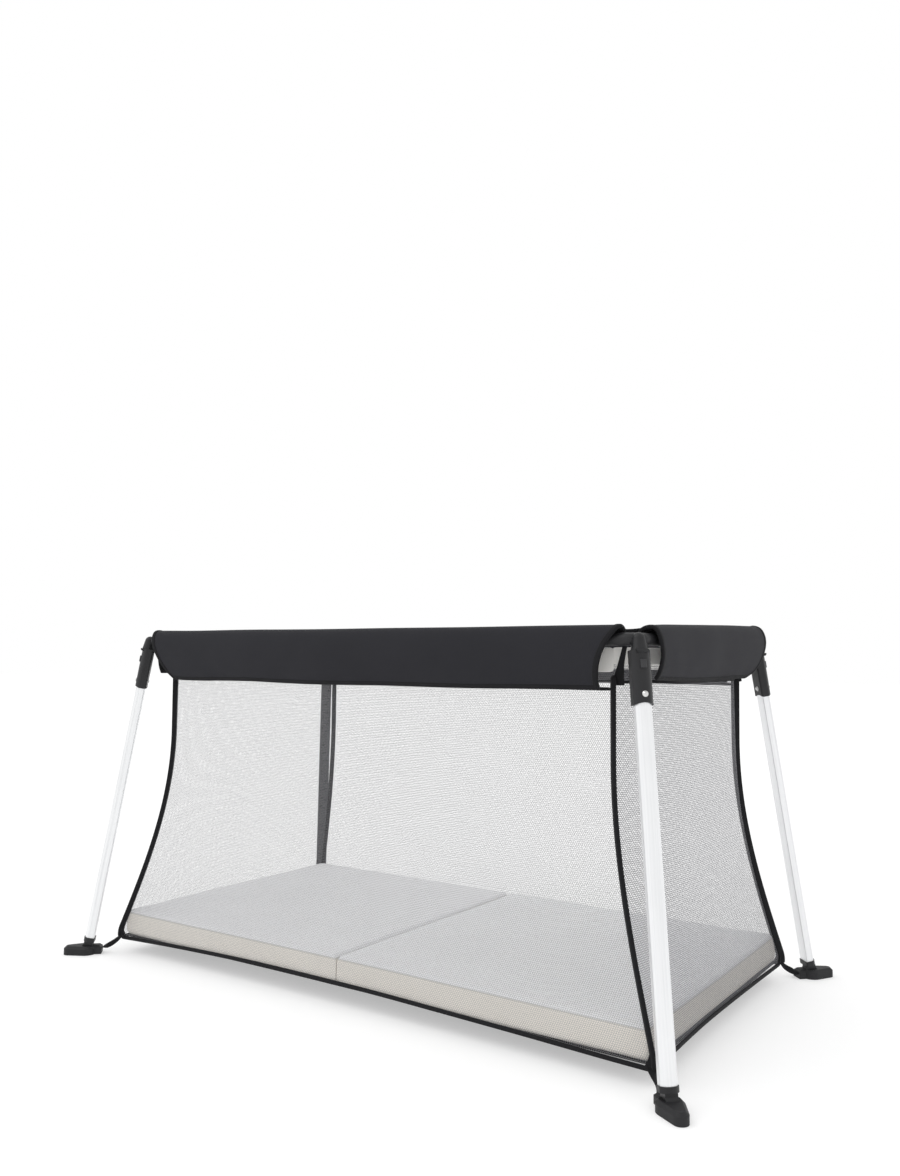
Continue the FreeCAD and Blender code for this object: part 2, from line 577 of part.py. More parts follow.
def make_rail_wrap(along_x, sign):
    """Padded fabric over one rail, bulging outside and cut back on a slant at both ends."""
    crown = RAIL_HEIGHT + WRAP_CROWN_RISE
    middle = (crown + WRAP_OUTER_BOTTOM) / 2
    edges = [
        Part.LineSegment(V(0, -WRAP_CROWN_RADIUS, WRAP_INNER_BOTTOM), V(0, -WRAP_CROWN_RADIUS, crown)).toShape(),
        Part.Arc(
            V(0, -WRAP_CROWN_RADIUS, crown), V(0, 0, crown + WRAP_CROWN_RADIUS), V(0, WRAP_CROWN_RADIUS, crown)
        ).toShape(),
        Part.Arc(
            V(0, WRAP_CROWN_RADIUS, crown), V(0, WRAP_BULGE, middle), V(0, WRAP_HEM_OUT, WRAP_OUTER_BOTTOM)
        ).toShape(),
    ]
    band = Part.Wire(edges).makeOffset2D(-WRAP_THICKNESS, 0, True, True)
    corner = HALF_X - WRAP_END_X if along_x else HALF_Y - WRAP_END_Y
    wrap = band.extrude(V(2 * corner, 0, 0))
    wrap.translate(V(-corner, 0, 0))
    top = crown + 2 * WRAP_CROWN_RADIUS
    bottom = WRAP_OUTER_BOTTOM - WRAP_CROWN_RADIUS
    depth = 4 * WRAP_BULGE
    for end in (-1, 1):
        cutter = Part.Face(Part.makePolygon([
            V(end * corner, -depth, RAIL_HEIGHT),
            V(end * (corner - WRAP_END_SLANT), -depth, WRAP_OUTER_BOTTOM),
            V(end * (corner - WRAP_END_SLANT), -depth, bottom),
            V(end * (corner + depth), -depth, bottom),
            V(end * (corner + depth), -depth, top),
            V(end * corner, -depth, top),
            V(end * corner, -depth, RAIL_HEIGHT),
        ]))
        wrap = wrap.cut(cutter.extrude(V(0, 2 * depth, 0)))
    if along_x:
        if sign < 0:
            wrap = wrap.mirror(V(0, 0, 0), V(0, 1, 0))
        wrap.translate(V(0, sign * HALF_Y, 0))
        return wrap
    wrap.rotate(V(0, 0, 0), V(0, 0, 1), -90)
    if sign < 0:
        wrap = wrap.mirror(V(0, 0, 0), V(1, 0, 0))
    wrap.translate(V(sign * HALF_X, 0, 0))
    return wrap


def make_mattress():
    """Soft floor pad that folds at its middle."""
    half_x = FLOOR_HALF_X - MATTRESS_INSET
    half_y = FLOOR_HALF_Y - MATTRESS_INSET
    bottom = FLOOR_HEIGHT + BASE_THICKNESS + MATTRESS_GAP
    top = bottom + MATTRESS_THICKNESS
    slab = floor_slab(half_x, half_y, MATTRESS_CORNER, bottom, MATTRESS_THICKNESS)
    top_edges = [edge for edge in slab.Edges if edge.BoundBox.ZMin > top - 0.01]
    slab = slab.makeFillet(MATTRESS_EDGE_ROUND, top_edges)
    fold = Part.Face(Part.makePolygon([
        V(-MATTRESS_FOLD_WIDTH / 2, -FLOOR_HALF_Y, top + 1),
        V(MATTRESS_FOLD_WIDTH / 2, -FLOOR_HALF_Y, top + 1),
        V(0, -FLOOR_HALF_Y, top - MATTRESS_FOLD_DEPTH),
        V(-MATTRESS_FOLD_WIDTH / 2, -FLOOR_HALF_Y, top + 1),
    ]))
    return slab.cut(fold.extrude(V(0, 2 * FLOOR_HALF_Y, 0)))


def build_parts():
    """Every sub-part by its node name."""
    rivets = make_rail_rivets()
    parts = {
        "rail_rivets": rivets,
        "rail_ferrules": make_rail_ferrules().cut(rivets),
        "end_rail_left": make_end_rail(-1, rivets),
        "end_rail_right": make_end_rail(1, rivets),
        "base_sheet": make_base_sheet(),
        "hem_piping": make_hem_piping(),
        "corner_piping": make_corner_piping(),
        "mattress": make_mattress(),
    }
    for side, sign in (("front", -1), ("back", 1)):
        parts["mesh_wall_" + side] = make_mesh_wall(True, sign)
        parts["rail_wrap_" + side] = make_rail_wrap(True, sign)
        parts["long_rail_" + side + "_left"] = make_long_rail(-1, sign, rivets)
        parts["long_rail_" + side + "_right"] = make_long_rail(1, sign, rivets)
    for side, sign in (("left", -1), ("right", 1)):
        parts["mesh_wall_" + side] = make_mesh_wall(False, sign)
        parts["rail_wrap_" + side] = make_rail_wrap(False, sign)
    pin_half = KNUCKLE_WIDTH / 2 + KNUCKLE_GAP + PAD_CHEEK
    socket_rivet = make_socket_rivet()
    on_leg = {
        "leg_socket": make_leg_socket(socket_rivet),
        "leg_tube": make_leg_tube(socket_rivet),
        "socket_rivet": socket_rivet,
        "lock_button": make_lock_button(),
        "button_spring": make_button_spring(),
        "foot_plug": make_foot_plug(make_pin(PIN_DIAMETER / 2 + PIN_FIT_GAP, pin_half)),
        "foot_pin": make_pin(PIN_DIAMETER / 2, pin_half),
    }
    pad = make_foot_pad()
    for corner, (sign_x, sign_y) in CORNERS.items():
        parts["corner_joint_" + corner] = make_corner_joint(sign_x, sign_y, rivets)
        for name, shape in on_leg.items():
            parts[name + "_" + corner] = place_on_leg(shape, sign_x, sign_y)
        parts["foot_pad_" + corner] = place_on_floor(pad, sign_x, sign_y)
        parts["foot_strap_" + corner] = make_foot_strap(sign_x, sign_y)
    return parts


os.makedirs("parts", exist_ok=True)
for node, shape in build_parts().items():
    shape.exportStep("parts/" + node + ".step")
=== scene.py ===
"""Looks of a framed mesh playpen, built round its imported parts."""

import json
import logging
import math
from collections.abc import Callable
from dataclasses import dataclass
from enum import Enum

import bmesh
import bpy
from mathutils import Matrix, Vector, noise


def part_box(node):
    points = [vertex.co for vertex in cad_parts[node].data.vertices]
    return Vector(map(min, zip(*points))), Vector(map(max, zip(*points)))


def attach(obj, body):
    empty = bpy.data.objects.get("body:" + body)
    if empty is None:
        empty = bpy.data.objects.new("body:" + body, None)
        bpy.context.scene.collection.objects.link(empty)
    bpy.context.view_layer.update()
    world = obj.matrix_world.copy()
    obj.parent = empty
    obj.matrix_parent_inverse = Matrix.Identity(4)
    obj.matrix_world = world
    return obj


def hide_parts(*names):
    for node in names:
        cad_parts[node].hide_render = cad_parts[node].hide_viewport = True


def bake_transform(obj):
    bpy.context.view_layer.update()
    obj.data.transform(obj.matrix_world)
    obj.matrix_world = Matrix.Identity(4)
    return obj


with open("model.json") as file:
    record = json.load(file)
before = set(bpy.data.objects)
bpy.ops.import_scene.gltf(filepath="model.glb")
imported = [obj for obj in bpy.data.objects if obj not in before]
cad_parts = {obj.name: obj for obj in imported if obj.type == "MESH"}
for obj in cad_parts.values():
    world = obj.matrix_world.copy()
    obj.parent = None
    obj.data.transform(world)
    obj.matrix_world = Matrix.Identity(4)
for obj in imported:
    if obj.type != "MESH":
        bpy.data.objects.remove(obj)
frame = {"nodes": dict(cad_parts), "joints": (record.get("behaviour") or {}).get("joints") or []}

log = logging.getLogger("playpen")
Place = Callable[[float, float], Vector]


# ---- corners and sides of the pen ----


class Corner(Enum):
    """A corner of the pen, by its direction along X and Y."""

    FRONT_LEFT = (-1, -1)
    FRONT_RIGHT = (1, -1)
    BACK_LEFT = (-1, 1)
    BACK_RIGHT = (1, 1)

    @property
    def label(self) -> str:
        """The corner's name, as the parts' names end."""
        return self.name.lower()

    def at(self, x: float, y: float, z: float) -> Vector:
        """The point of this corner whose distances from the middle are x and y."""
        return Vector((self.value[0] * x, self.value[1] * y, z))

    @property
    def outwards(self) -> Vector:
        """Level direction out through the corner, along the diagonal."""
        return self.at(1, 1, 0).normalized()

    @property
    def across(self) -> Vector:
        """Level direction square to the diagonal."""
        return Vector((0, 0, 1)).cross(self.outwards)


class Side(Enum):
    """A side of the pen: whether it runs along X, and which way it faces."""

    FRONT = (True, -1)
    BACK = (True, 1)
    LEFT = (False, -1)
    RIGHT = (False, 1)

    @property
    def label(self) -> str:
        """The side's name, as the parts' names end."""
        return self.name.lower()

    @property
    def along_x(self) -> bool:
        """Whether the side runs along X."""
        return self.value[0]

    def at(self, along: float, out: float, height: float) -> Vector:
        """The point of this side at a distance along it, out from the middle, and up."""
        if self.along_x:
            return Vector((along, self.value[1] * out, height))
        return Vector((self.value[1] * out, along, height))

    def corner(self, end: int) -> Corner:
        """The corner at the low (-1) or high (1) end of the side."""
        facing = self.value[1]
        return Corner((end, facing) if self.along_x else (facing, end))


# ---- shader maths ----


class Signal:
    """A shader socket. Plain arithmetic on it adds Math nodes."""

    def __init__(self, shader: "Shader", socket: bpy.types.NodeSocket) -> None:
        """Wrap one output socket of a shader's node."""
        self.shader = shader
        self.socket = socket

    def math(self, operation: str, *others: "Signal | float") -> "Signal":
        """Math node of an operation on this signal and any others."""
        return self.shader.math(operation, self, *others)

    def __add__(self, other: "Signal | float") -> "Signal":
        """Sum."""
        return self.math("ADD", other)

    __radd__ = __add__

    def __sub__(self, other: "Signal | float") -> "Signal":
        """Difference."""
        return self.math("SUBTRACT", other)

    def __rsub__(self, other: float) -> "Signal":
        """Difference, reflected."""
        return self.shader.math("SUBTRACT", other, self)

    def __mul__(self, other: "Signal | float") -> "Signal":
        """Product."""
        return self.math("MULTIPLY", other)

    __rmul__ = __mul__

    def __truediv__(self, other: "Signal | float") -> "Signal":
        """Quotient."""
        return self.math("DIVIDE", other)

    def __lt__(self, other: "Signal | float") -> "Signal":
        """One where this is less."""
        return self.math("LESS_THAN", other)

    def __gt__(self, other: "Signal | float") -> "Signal":
        """One where this is greater."""
        return self.math("GREATER_THAN", other)


class Shader:
    """One material: a Principled shader and the nodes that feed it."""

    def __init__(self, name: str) -> None:
        """Start an empty material of a name."""
        self.material = bpy.data.materials.new(name)
        self.material.use_nodes = True
        self.tree = self.material.node_tree
        self.tree.nodes.clear()
        output = self.node("ShaderNodeOutputMaterial")
        self.surface = self.node("ShaderNodeBsdfPrincipled")
        self.tree.links.new(self.surface.outputs[0], output.inputs[0])

    def node(
        self, kind: str, settings: dict | None = None, inputs: dict | None = None
    ) -> bpy.types.Node:
        """Add a node.

        Args:
            kind: The node's type name.
            settings: Its properties, set first.
            inputs: Values or signals for its sockets, by name or number.
        """
        made = self.tree.nodes.new(kind)
        for key, value in (settings or {}).items():
            setattr(made, key, value)
        for key, value in (inputs or {}).items():
            if isinstance(value, Signal):
                self.tree.links.new(value.socket, made.inputs[key])
            else:
                made.inputs[key].default_value = value
        return made

    def math(self, operation: str, *values: Signal | float) -> Signal:
        """Math node of an operation on signals and numbers, in order."""
        made = self.node("ShaderNodeMath", {"operation": operation}, dict(enumerate(values)))
        return Signal(self, made.outputs[0])

    def split(self, vector: Signal) -> tuple[Signal, Signal, Signal]:
        """The three parts of a vector."""
        made = self.node("ShaderNodeSeparateXYZ", None, {0: vector})
        return tuple(Signal(self, socket) for socket in made.outputs)

    def join(self, x: Signal | float, y: Signal | float, z: Signal | float) -> Signal:
        """A vector of three parts."""
        return Signal(self, self.node("ShaderNodeCombineXYZ", None, {0: x, 1: y, 2: z}).outputs[0])

    def place(self) -> Signal:
        """Object coordinates, in metres."""
        return Signal(self, self.node("ShaderNodeTexCoord").outputs["Object"])

    def cloth_place(self) -> tuple[Signal, Signal]:
        """The piece's own UV map, in metres across and along the cloth."""
        made = self.node("ShaderNodeUVMap", {"uv_map": "UVMap"})
        return self.split(Signal(self, made.outputs[0]))[:2]

    def along(self, vector: Signal, direction: Vector) -> Signal:
        """Distance of a place along a direction."""
        inputs = {0: vector, 1: tuple(direction)}
        made = self.node("ShaderNodeVectorMath", {"operation": "DOT_PRODUCT"}, inputs)
        return Signal(self, made.outputs["Value"])

    def noise(self, vector: Signal, scale: float, detail: float = 3.0) -> Signal:
        """Cloudy noise from 0 to 1.

        Args:
            vector: Where it is read.
            scale: Its fineness, per metre.
            detail: Its number of finer layers.
        """
        inputs = {"Vector": vector, "Scale": scale, "Detail": detail}
        return Signal(self, self.node("ShaderNodeTexNoise", None, inputs).outputs[0])

    def blend(self, share: Signal, low: tuple | Signal, high: tuple | Signal) -> Signal:
        """Mix of two colours.

        Args:
            share: How much of the second colour shows.
            low: The colour at 0.
            high: The colour at 1.
        """
        made = self.node(
            "ShaderNodeMix", {"data_type": "RGBA"}, {0: share, 6: self.paint(low), 7: self.paint(high)}
        )
        return Signal(self, made.outputs[2])

    @staticmethod
    def paint(colour: tuple | Signal) -> tuple | Signal:
        """A colour with its fourth part, or a signal as it is."""
        return colour if isinstance(colour, Signal) else (*colour[:3], 1.0)

    def relief(self, height: Signal, depth: float, strength: float = 1.0) -> Signal:
        """Bump of a height.

        Args:
            height: The height, from 0 to 1.
            depth: How deep a height of 1 is, in metres.
            strength: How much of the bump shows.
        """
        inputs = {"Height": height, "Distance": depth, "Strength": strength}
        return Signal(self, self.node("ShaderNodeBump", None, inputs).outputs[0])

    def finish(self, **sockets: "Signal | float | tuple") -> bpy.types.Material:
        """Set the Principled shader's sockets.

        Args:
            sockets: Values or signals, by socket name with underscores for spaces.
        """
        for key, value in sockets.items():
            socket = self.surface.inputs[key.replace("_", " ")]
            if isinstance(value, Signal):
                self.tree.links.new(value.socket, socket)
            else:
                socket.default_value = value
        return self.material


# ---- finishes ----

FULL_TURN = 2 * math.pi


@dataclass(frozen=True)
class MouldedPlastic:
    """Black moulded nylon with a fine grain, a little worn and dusty."""

    name: str
    colour: tuple = (0.009, 0.009, 0.010)
    worn: tuple = (0.020, 0.020, 0.022)
    roughness: float = 0.34
    grain: float = 1600.0
    gloss: float = 0.32

    def make(self) -> bpy.types.Material:
        """The material."""
        shader = Shader(self.name)
        place = shader.place()
        cloud = shader.noise(place, 35.0)
        grain = shader.noise(place, self.grain, 2.0)
        return shader.finish(
            Base_Color=shader.blend(cloud, self.colour, self.worn),
            Roughness=self.roughness + cloud * 0.16,
            Specular_IOR_Level=self.gloss,
            Normal=shader.relief(grain, 0.0002, 0.35),
        )


@dataclass(frozen=True)
class DrawnAluminium:
    """Drawn, anodised aluminium with fine lines along the tube.

    A `face` is a point inside the tube, a direction, and how far along that
    direction the painted shade on the tube's inner side begins.
    """

    name: str
    direction: Vector
    colour: tuple = (0.80, 0.81, 0.82)
    shade: tuple = (0.60, 0.61, 0.63)
    # painted shade: the colour given to the tube's inner side past the face's depth
    dark: tuple = (0.055, 0.055, 0.058)
    roughness: float = 0.30
    line: float = 420.0
    stretch: float = 5.0
    face: tuple[Vector, Vector, float] | None = None

    def make(self) -> bpy.types.Material:
        """The material."""
        shader = Shader(self.name)
        place = shader.place()
        axis = self.direction.normalized()
        side = axis.orthogonal().normalized()
        lines = shader.join(
            shader.along(place, side) * self.line,
            shader.along(place, axis.cross(side)) * self.line,
            shader.along(place, axis) * self.stretch,
        )
        streak = shader.noise(lines, 1.0, 2.0)
        cloud = shader.noise(place, 12.0)
        paint = shader.blend(streak * 0.6 + cloud * 0.3, self.colour, self.shade)
        # Painted shade: beyond the depth along the facing direction, the tube takes the painted shade
        # colour in place of its metal colour.
        if self.face is not None:
            point, facing, depth = self.face
            reach = shader.along(place, facing) - point.dot(facing)
            paint = shader.blend(reach > depth, paint, self.dark)
        return shader.finish(
            Base_Color=paint,
            Metallic=0.85,
            Roughness=self.roughness + streak * 0.14,
            Normal=shader.relief(streak, 0.0001, 0.25),
        )


@dataclass(frozen=True)
class PlatedSteel:
    """Bright plated steel of rivets, pins and springs."""

    name: str
    colour: tuple = (0.80, 0.80, 0.79)
    roughness: float = 0.22

    def make(self) -> bpy.types.Material:
        """The material."""
        shader = Shader(self.name)
        place = shader.place()
        cloud = shader.noise(place, 400.0)
        dull = tuple(0.7 * part for part in self.colour)
        return shader.finish(
            Base_Color=shader.blend(cloud, self.colour, dull),
            Metallic=1.0,
            Roughness=self.roughness + cloud * 0.2,
            Normal=shader.relief(cloud, 0.0001, 0.3),
        )


@dataclass(frozen=True)
class PlainWeave:
    """Close plain weave on the cloth's own map, with a soft sheen."""

    name: str
    colour: tuple
    light: tuple
    thread: float = 0.0009
    roughness: float = 0.78
    sheen: float = 0.04
    gloss: float = 0.16
    depth: float = 0.0003

    def make(self) -> bpy.types.Material:
        """The material."""
        shader = Shader(self.name)
        across, along = shader.cloth_place()
        warp = (across * (FULL_TURN / self.thread)).math("SINE")
        weft = (along * (FULL_TURN / self.thread)).math("SINE")
        weave = warp * weft * 0.5 + 0.5
        place = shader.place()
        cloud = shader.noise(place, 9.0)
        slub = shader.noise(shader.join(across * 1200.0, along * 60.0, 0.0), 1.0, 2.0)
        return shader.finish(
            Base_Color=shader.blend(weave * 0.3 + cloud * 0.4 + slub * 0.3, self.colour, self.light),
            Roughness=self.roughness + weave * 0.1,
            Sheen_Weight=self.sheen,
            Sheen_Roughness=0.5,
            Specular_IOR_Level=self.gloss,
            Normal=shader.relief(weave * 0.7 + slub * 0.3, self.depth, 0.5),
        )


@dataclass(frozen=True)
class RibbedTape:
    """Woven binding or webbing with ribs across its length."""

    name: str
    colour: tuple = (0.006, 0.006, 0.007)
    light: tuple = (0.018, 0.018, 0.020)
    rib: float = 0.0014
    lean: float = 0.0
    depth: float = 0.0005

    def make(self) -> bpy.types.Material:
        """The material."""
        shader = Shader(self.name)
        across, along = shader.cloth_place()
        rib = ((along + across * self.lean) * (FULL_TURN / self.rib)).math("SINE") * 0.5 + 0.5
        cord = (across * (FULL_TURN / self.rib)).math("SINE") * 0.5 + 0.5
        fuzz = shader.noise(shader.place(), 700.0)
        return shader.finish(
            Base_Color=shader.blend(rib * 0.5 + fuzz * 0.4, self.colour, self.light),
            Roughness=0.72 + fuzz * 0.2,
            Sheen_Weight=0.03,
            Specular_IOR_Level=0.15,
            Normal=shader.relief(rib * 0.6 + cord * 0.4, self.depth, 0.6),
        )


@dataclass(frozen=True)
class HexNet:
    """Knitted net: six-sided holes between thin grey threads."""

    name: str
    colour: tuple = (0.27, 0.27, 0.28)
    shade: tuple = (0.20, 0.20, 0.21)
    cell: float = 0.0034
    thread: float = 0.125

    def make(self) -> bpy.types.Material:
        """The material."""
        shader = Shader(self.name)
        across, along = shader.cloth_place()
        tall = math.sqrt(3)
        x = across / self.cell
        y = along / self.cell
        near_x = x.math("FLOORED_MODULO", 1.0) - 0.5
        near_y = y.math("FLOORED_MODULO", tall) - tall / 2
        far_x = (x - 0.5).math("FLOORED_MODULO", 1.0) - 0.5
        far_y = (y - tall / 2).math("FLOORED_MODULO", tall) - tall / 2
        first = (near_x * near_x + near_y * near_y) < (far_x * far_x + far_y * far_y)
        hole_x = (far_x + (near_x - far_x) * first).math("ABSOLUTE")
        hole_y = (far_y + (near_y - far_y) * first).math("ABSOLUTE")
        reach = hole_x.math("MAXIMUM", hole_x * 0.5 + hole_y * (tall / 2))
        thread = reach > (0.5 - self.thread / 2)
        round_thread = (reach - (0.5 - self.thread / 2)) / (self.thread / 2)
        cloud = shader.noise(shader.join(across, along, 0.0), 14.0)
        return shader.finish(
            Base_Color=shader.blend(cloud * 0.8, self.colour, self.shade),
            Roughness=0.7 + cloud * 0.1,
            Alpha=thread,
            Sheen_Weight=0.1,
            Normal=shader.relief(round_thread, 0.0004, 0.4),
        )


@dataclass(frozen=True)
class PadCover:
    """Brushed knit cover: pale grey on top, with a cream border round the side."""

    name: str
    edge_height: float
    seam: float = 0.0016
    stitch_wide: float = 0.0022
    stitch_tall: float = 0.0018
    top: tuple = (0.82, 0.82, 0.83)
    top_shade: tuple = (0.74, 0.74, 0.755)
    border: tuple = (0.82, 0.785, 0.725)
    border_shade: tuple = (0.73, 0.695, 0.64)

    def make(self) -> bpy.types.Material:
        """The material."""
        shader = Shader(self.name)
        place = shader.place()
        x, y, z = shader.split(place)
        cloud = shader.noise(place, 7.0)
        knit_x = (x * (FULL_TURN / self.stitch_wide)).math("SINE")
        knit_y = (y * (FULL_TURN / self.stitch_tall)).math("SINE")
        knit_z = (z * (FULL_TURN / self.stitch_wide)).math("SINE")
        knit = (knit_x * knit_y + knit_z * (knit_x + knit_y)) * 0.25 + 0.5
        fluff = shader.noise(place, 900.0)
        upper = ((z - self.edge_height) * 800.0 + 0.5).math("MINIMUM", 1.0).math("MAXIMUM", 0.0)
        top = shader.blend(cloud * 0.7 + fluff * 0.3, self.top, self.top_shade)
        border = shader.blend(cloud * 0.7 + fluff * 0.3, self.border, self.border_shade)
        stitched = ((z - self.edge_height).math("ABSOLUTE") < self.seam) * 0.35
        cover = shader.blend(upper, border, top)
        return shader.finish(
            Base_Color=shader.blend(stitched, cover, tuple(0.4 * part for part in self.border)),
            Roughness=0.82 + fluff * 0.12,
            Sheen_Weight=0.2,
            Specular_IOR_Level=0.25,
            Normal=shader.relief(knit * 0.6 + fluff * 0.4, 0.0004, 0.5),
        )


# ---- shaping ----


def placed_grid(
    name: str,
    steps: tuple[int, int],
    place: Place,
    size: tuple[float, float],
    outside: Vector,
) -> bpy.types.Object:
    """Cloth cut as a grid, each point put where a function says.

    Args:
        name: The piece's name.
        steps: Its divisions across and along.
        place: Point for a share (0 to 1) across and along.
        size: Its cut size across and along, in metres, for the cloth's own map.
        outside: A direction that its front faces.

    Returns:
        The new object, at the origin.
    """
    shape = bmesh.new()
    shape.loops.layers.uv.new("UVMap")
    bmesh.ops.create_grid(shape, x_segments=steps[0], y_segments=steps[1], size=1.0, calc_uvs=True)
    layer = shape.loops.layers.uv["UVMap"]
    for face in shape.faces:
        for loop in face.loops:
            share = loop.vert.co
            loop[layer].uv = ((share.x + 1) / 2 * size[0], (share.y + 1) / 2 * size[1])
    for vertex in shape.verts:
        vertex.co = place((vertex.co.x + 1) / 2, (vertex.co.y + 1) / 2)
    shape.normal_update()
    facing = sum((face.normal * face.calc_area() for face in shape.faces), Vector())
    if facing.dot(outside) < 0:
        bmesh.ops.reverse_faces(shape, faces=shape.faces)
    return as_object(name, shape)


def as_object(name: str, shape: bmesh.types.BMesh) -> bpy.types.Object:
    """Turn a bmesh into a smooth object at the origin.

    Args:
        name: The piece's name.
        shape: Its mesh, which is freed.
    """
    mesh = bpy.data.meshes.new(name)
    shape.to_mesh(mesh)
    shape.free()
    mesh.shade_smooth()
    made = bpy.data.objects.new(name, mesh)
    bpy.context.scene.collection.objects.link(made)
    return made


def thicken(piece: bpy.types.Object, thickness: float) -> None:
    """Give a sheet its thickness, half to each side, and soften it.

    Args:
        piece: The sheet.
        thickness: How thick it becomes, in metres.
    """
    solid = piece.modifiers.new("Thickness", "SOLIDIFY")
    solid.thickness = thickness
    solid.offset = 0.0
    solid.use_even_offset = True
    soften(piece)


def soften(piece: bpy.types.Object) -> None:
    """Add one level of subdivision, the same in views and renders."""
    smooth = piece.modifiers.new("Soft", "SUBSURF")
    smooth.levels = 1
    smooth.render_levels = 1


def dress(
    piece: bpy.types.Object, material: bpy.types.Material, body: str
) -> bpy.types.Object:
    """Give a piece its material, slot and body, and report it.

    Args:
        piece: The piece.
        material: Its finish.
        body: The moving body it rides on.
    """
    piece.data.materials.clear()
    piece.data.materials.append(material)
    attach(piece, body)
    log.info("%s: %d faces on %s", piece.name, len(piece.data.polygons), body)
    return piece


def curve_through(points: list[tuple[float, float]], share: float) -> tuple[float, float]:
    """Point of a smooth curve through others.

    Args:
        points: The points it passes.
        share: How far along it is, from 0 to 1.
    """
    spans = len(points) - 1
    position = min(max(share, 0.0), 1.0) * spans
    index = min(int(position), spans - 1)
    t = position - index
    near = [Vector(points[min(max(index + step, 0), spans)]) for step in (-1, 0, 1, 2)]
    bend = (near[2] - near[0]) * t
    bend += (2 * near[0] - 5 * near[1] + 4 * near[2] - near[3]) * t**2
    bend += (3 * near[1] - near[0] - 3 * near[2] + near[3]) * t**3
    return tuple(near[1] + bend / 2)


def ripple(place: Vector, scale: float, seed: float) -> float:
    """Smooth unevenness from -1 to 1 at a place."""
    return noise.noise(place * scale + Vector((seed, seed * 0.7, seed * 0.3)))


# ---- the fabric tub ----


